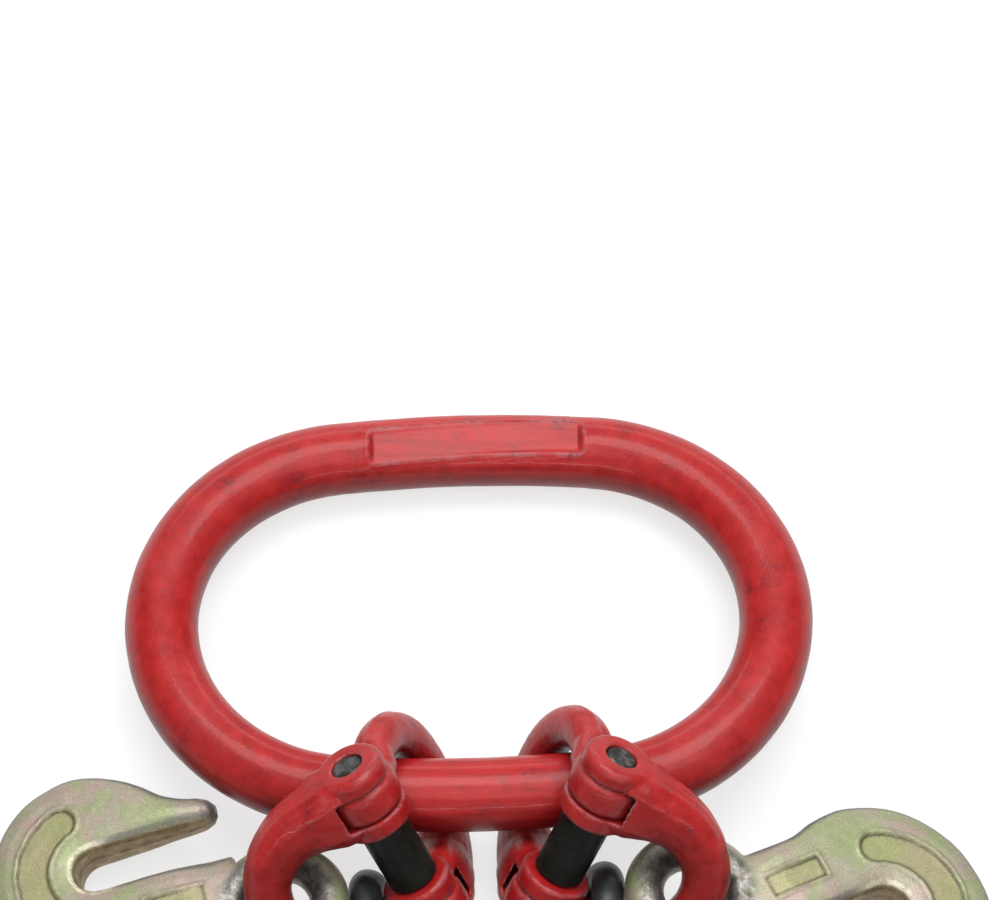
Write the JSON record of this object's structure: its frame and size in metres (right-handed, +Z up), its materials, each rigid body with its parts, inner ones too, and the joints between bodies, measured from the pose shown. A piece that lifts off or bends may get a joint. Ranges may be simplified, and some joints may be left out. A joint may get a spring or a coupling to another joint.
{
  "type": "v-bridle tow chain",
  "caption": "Oblong master link carrying hinged coupling links, each with an eye grab hook and a chain leg that ends in a long J hook.",
  "frame": {"origin": "centre of the bounding box in plan, on the flat surface the bridle lies on", "axes": "+Z up from that surface, -Y from the master link towards the J hooks, +X to the right as seen with the master link far away"},
  "size_m": [0.7216, 0.8397, 0.0702],
  "materials": {
    "red_paint": "semi-gloss red paint, thin on the edges",
    "black_paint": "matte black coating",
    "pin_steel": "dark phosphated steel",
    "spring_steel": "plain spring steel",
    "chain_finish": "satin black finish",
    "zinc_dichromate": "yellow zinc dichromate with iridescent bloom",
    "bare_forging": "yellow zinc dichromate"
  },
  "bodies": {
    "master": {"master_link": "red_paint"},
    "left_ring_half": {"left_ring_half": "red_paint"},
    "left_hook_half": {"left_hook_half": "red_paint"},
    "left_pin": {"left_load_pin": "pin_steel", "left_lock_sleeve": "black_paint", "left_retaining_ring": "spring_steel"},
    "left_grab_hook": {"left_grab_hook": "zinc_dichromate"},
    "left_link_01": {"left_link_01": "chain_finish"},
    "left_link_02": {"left_link_02": "chain_finish"},
    "left_link_03": {"left_link_03": "chain_finish"},
    "left_link_04": {"left_link_04": "chain_finish"},
    "left_link_05": {"left_link_05": "chain_finish"},
    "left_link_06": {"left_link_06": "chain_finish"},
    "left_link_07": {"left_link_07": "chain_finish"},
    "left_link_08": {"left_link_08": "chain_finish"},
    "left_link_09": {"left_link_09": "chain_finish"},
    "left_link_10": {"left_link_10": "chain_finish"},
    "left_link_11": {"left_link_11": "chain_finish"},
    "left_end_chain_half": {"left_end_chain_half": "red_paint"},
    "left_end_hook_half": {"left_end_hook_half": "red_paint"},
    "left_end_pin": {"left_end_load_pin": "pin_steel", "left_end_lock_sleeve": "black_paint", "left_end_retaining_ring": "spring_steel"},
    "left_j_hook": {"left_j_hook": "bare_forging"},
    "right_ring_half": {"right_ring_half": "red_paint"},
    "right_hook_half": {"right_hook_half": "red_paint"},
    "right_pin": {"right_load_pin": "pin_steel", "right_lock_sleeve": "black_paint", "right_retaining_ring": "spring_steel"},
    "right_grab_hook": {"right_grab_hook": "zinc_dichromate"},
    "right_link_01": {"right_link_01": "chain_finish"},
    "right_link_02": {"right_link_02": "chain_finish"},
    "right_link_03": {"right_link_03": "chain_finish"},
    "right_link_04": {"right_link_04": "chain_finish"},
    "right_link_05": {"right_link_05": "chain_finish"},
    "right_link_06": {"right_link_06": "chain_finish"},
    "right_link_07": {"right_link_07": "chain_finish"},
    "right_link_08": {"right_link_08": "chain_finish"},
    "right_link_09": {"right_link_09": "chain_finish"},
    "right_link_10": {"right_link_10": "chain_finish"},
    "right_link_11": {"right_link_11": "chain_finish"},
    "right_end_chain_half": {"right_end_chain_half": "red_paint"},
    "right_end_hook_half": {"right_end_hook_half": "red_paint"},
    "right_end_pin": {"right_end_load_pin": "pin_steel", "right_end_lock_sleeve": "black_paint", "right_end_retaining_ring": "spring_steel"},
    "right_j_hook": {"right_j_hook": "bare_forging"}
  },
  "joints": [
    {"name": "left_bar_swing", "type": "hinge", "parent": "master", "child": "left_ring_half", "pos_m": [-0.04518, 0.28785, 0.03012], "axis": [-0.9995, -0.0328, 0.0051], "range_deg": [-20, 90]},
    {"name": "left_coupling_fold", "type": "hinge", "parent": "left_ring_half", "child": "left_hook_half", "pos_m": [-0.0445, 0.268, 0.03791], "axis": [0.4246, -0.47, -0.7738], "range_deg": [-17.5, 2]},
    {"name": "left_pin_spin", "type": "hinge", "parent": "left_hook_half", "child": "left_pin", "pos_m": [-0.0445, 0.268, 0.03791], "axis": [-0.4246, 0.47, 0.7738], "continuous": true},
    {"name": "left_hook_swing", "type": "hinge", "parent": "left_hook_half", "child": "left_grab_hook", "pos_m": [-0.07959, 0.25209, 0.02845], "axis": [-0.48, 0.275, 0.833], "range_deg": [-4, 60]},
    {"name": "left_link_01_swing", "type": "hinge", "parent": "left_hook_half", "child": "left_link_01", "pos_m": [-0.0467, 0.25215, 0.01772], "axis": [-0.9734, -0.2241, 0.048], "range_deg": [-4, 35]},
    {"name": "left_link_02_swing", "type": "hinge", "parent": "left_link_01", "child": "left_link_02", "pos_m": [-0.04372, 0.22487, 0.01794], "axis": [-0.289, -0.0166, 0.9572], "range_deg": [-75, 20]},
    {"name": "left_link_03_swing", "type": "hinge", "parent": "left_link_02", "child": "left_link_03", "pos_m": [-0.0414, 0.19522, 0.01676], "axis": [-0.9369, -0.0841, -0.3393], "range_deg": [-75, 75]},
    {"name": "left_link_04_swing", "type": "hinge", "parent": "left_link_03", "child": "left_link_04", "pos_m": [-0.04266, 0.16551, 0.01663], "axis": [0.3921, -0.0014, -0.9199], "range_deg": [-55, 75]},
    {"name": "left_link_05_swing", "type": "hinge", "parent": "left_link_04", "child": "left_link_05", "pos_m": [-0.0475, 0.13616, 0.01636], "axis": [0.8867, -0.1312, 0.4434], "range_deg": [-75, 75]},
    {"name": "left_link_06_swing", "type": "hinge", "parent": "left_link_05", "child": "left_link_06", "pos_m": [-0.05583, 0.10761, 0.01605], "axis": [-0.4786, 0.1198, 0.8698], "range_deg": [-75, 75]},
    {"name": "left_link_07_swing", "type": "hinge", "parent": "left_link_06", "child": "left_link_07", "pos_m": [-0.06755, 0.08027, 0.01571], "axis": [0.7771, -0.3205, 0.5417], "range_deg": [-75, 75]},
    {"name": "left_link_08_swing", "type": "hinge", "parent": "left_link_07", "child": "left_link_08", "pos_m": [-0.07867, 0.05273, 0.01533], "axis": [0.5493, -0.2111, -0.8085], "range_deg": [-75, 75]},
    {"name": "left_link_09_swing", "type": "hinge", "parent": "left_link_08", "child": "left_link_09", "pos_m": [-0.0898, 0.0252, 0.01493], "axis": [-0.7145, 0.2979, -0.6331], "range_deg": [-75, 75]},
    {"name": "left_link_10_swing", "type": "hinge", "parent": "left_link_09", "child": "left_link_10", "pos_m": [-0.10092, -0.00233, 0.0145], "axis": [-0.6306, 0.2433, 0.737], "range_deg": [-75, 75]},
    {"name": "left_link_11_swing", "type": "hinge", "parent": "left_link_10", "child": "left_link_11", "pos_m": [-0.11205, -0.02987, 0.01509], "axis": [-0.6509, 0.2515, -0.7163], "range_deg": [-75, 75]},
    {"name": "left_end_bow_swing", "type": "hinge", "parent": "left_link_11", "child": "left_end_chain_half", "pos_m": [-0.12364, -0.05687, 0.01681], "axis": [0.5699, -0.5899, -0.5719], "range_deg": [-45, 20]},
    {"name": "left_end_coupling_fold", "type": "hinge", "parent": "left_end_chain_half", "child": "left_end_hook_half", "pos_m": [-0.14981, -0.0627, 0.03561], "axis": [-0.6083, 0.2458, -0.7547], "range_deg": [-7.5, 90]},
    {"name": "left_end_pin_spin", "type": "hinge", "parent": "left_end_hook_half", "child": "left_end_pin", "pos_m": [-0.14981, -0.0627, 0.03561], "axis": [0.6083, -0.2458, 0.7547], "continuous": true},
    {"name": "left_j_hook_swing", "type": "hinge", "parent": "left_end_hook_half", "child": "left_j_hook", "pos_m": [-0.14995, -0.10321, 0.02405], "axis": [0.079, -0.126, 0.9889], "range_deg": [-90, 90]},
    {"name": "right_bar_swing", "type": "hinge", "parent": "master", "child": "right_ring_half", "pos_m": [0.00678, 0.28984, 0.03012], "axis": [0.9996, 0.0266, 0.0051], "range_deg": [-35, 90]},
    {"name": "right_coupling_fold", "type": "hinge", "parent": "right_ring_half", "child": "right_hook_half", "pos_m": [0.00727, 0.26998, 0.03791], "axis": [-0.396, -0.4943, -0.7738], "range_deg": [-15, 17.5]},
    {"name": "right_pin_spin", "type": "hinge", "parent": "right_hook_half", "child": "right_pin", "pos_m": [0.00727, 0.26998, 0.03791], "axis": [-0.396, -0.4943, -0.7738], "continuous": true},
    {"name": "right_hook_swing", "type": "hinge", "parent": "right_hook_half", "child": "right_grab_hook", "pos_m": [0.04489, 0.25595, 0.02831], "axis": [0.7675, 0.0957, 0.6339], "range_deg": [-60, 17.5]},
    {"name": "right_link_01_swing", "type": "hinge", "parent": "right_hook_half", "child": "right_link_01", "pos_m": [0.01041, 0.25429, 0.01772], "axis": [-0.985, 0.166, -0.048], "range_deg": [-4, 35]},
    {"name": "right_link_02_swing", "type": "hinge", "parent": "right_link_01", "child": "right_link_02", "pos_m": [0.00906, 0.22688, 0.01794], "axis": [0.2895, 0.0005, 0.9572], "range_deg": [-20, 75]},
    {"name": "right_link_03_swing", "type": "hinge", "parent": "right_link_02", "child": "right_link_03", "pos_m": [0.0085, 0.19715, 0.01676], "axis": [-0.9403, 0.0284, 0.3393], "range_deg": [-75, 75]},
    {"name": "right_link_04_swing", "type": "hinge", "parent": "right_link_03", "child": "right_link_04", "pos_m": [0.01152, 0.16756, 0.01663], "axis": [-0.3913, -0.0246, -0.9199], "range_deg": [-75, 55]},
    {"name": "right_link_05_swing", "type": "hinge", "parent": "right_link_04", "child": "right_link_05", "pos_m": [0.01809, 0.13855, 0.01636], "axis": [0.8774, 0.1835, -0.4434], "range_deg": [-75, 75]},
    {"name": "right_link_06_swing", "type": "hinge", "parent": "right_link_05", "child": "right_link_06", "pos_m": [0.0281, 0.11054, 0.01605], "axis": [-0.4707, -0.148, -0.8698], "range_deg": [-75, 75]},
    {"name": "right_link_07_swing", "type": "hinge", "parent": "right_link_06", "child": "right_link_07", "pos_m": [0.04142, 0.08395, 0.01571], "axis": [0.7567, 0.3661, -0.5417], "range_deg": [-75, 75]},
    {"name": "right_link_08_swing", "type": "hinge", "parent": "right_link_07", "child": "right_link_08", "pos_m": [0.05416, 0.05712, 0.01533], "axis": [0.5358, 0.2433, 0.8085], "range_deg": [-75, 75]},
    {"name": "right_link_09_swing", "type": "hinge", "parent": "right_link_08", "child": "right_link_09", "pos_m": [0.06689, 0.03029, 0.01493], "axis": [-0.6956, -0.3397, 0.6331], "range_deg": [-75, 75]},
    {"name": "right_link_10_swing", "type": "hinge", "parent": "right_link_09", "child": "right_link_10", "pos_m": [0.07963, 0.00347, 0.0145], "axis": [-0.6151, -0.2803, -0.737], "range_deg": [-75, 75]},
    {"name": "right_link_11_swing", "type": "hinge", "parent": "right_link_10", "child": "right_link_11", "pos_m": [0.09237, -0.02336, 0.01509], "axis": [0.6348, 0.2896, -0.7163], "range_deg": [-75, 75]},
    {"name": "right_end_bow_swing", "type": "hinge", "parent": "right_link_11", "child": "right_end_chain_half", "pos_m": [0.10554, -0.04962, 0.01681], "axis": [-0.534, -0.6227, -0.5719], "range_deg": [-20, 45]},
    {"name": "right_end_coupling_fold", "type": "hinge", "parent": "right_end_chain_half", "child": "right_end_hook_half", "pos_m": [0.13201, -0.05389, 0.03561], "axis": [0.5926, 0.2814, -0.7547], "range_deg": [-90, 7.5]},
    {"name": "right_end_pin_spin", "type": "hinge", "parent": "right_end_hook_half", "child": "right_end_pin", "pos_m": [0.13201, -0.05389, 0.03561], "axis": [0.5926, 0.2814, -0.7547], "continuous": true},
    {"name": "right_j_hook_swing", "type": "hinge", "parent": "right_end_hook_half", "child": "right_j_hook", "pos_m": [0.13456, -0.09432, 0.02405], "axis": [-0.0714, -0.1304, 0.9889], "range_deg": [-90, 90]}
  ]
}
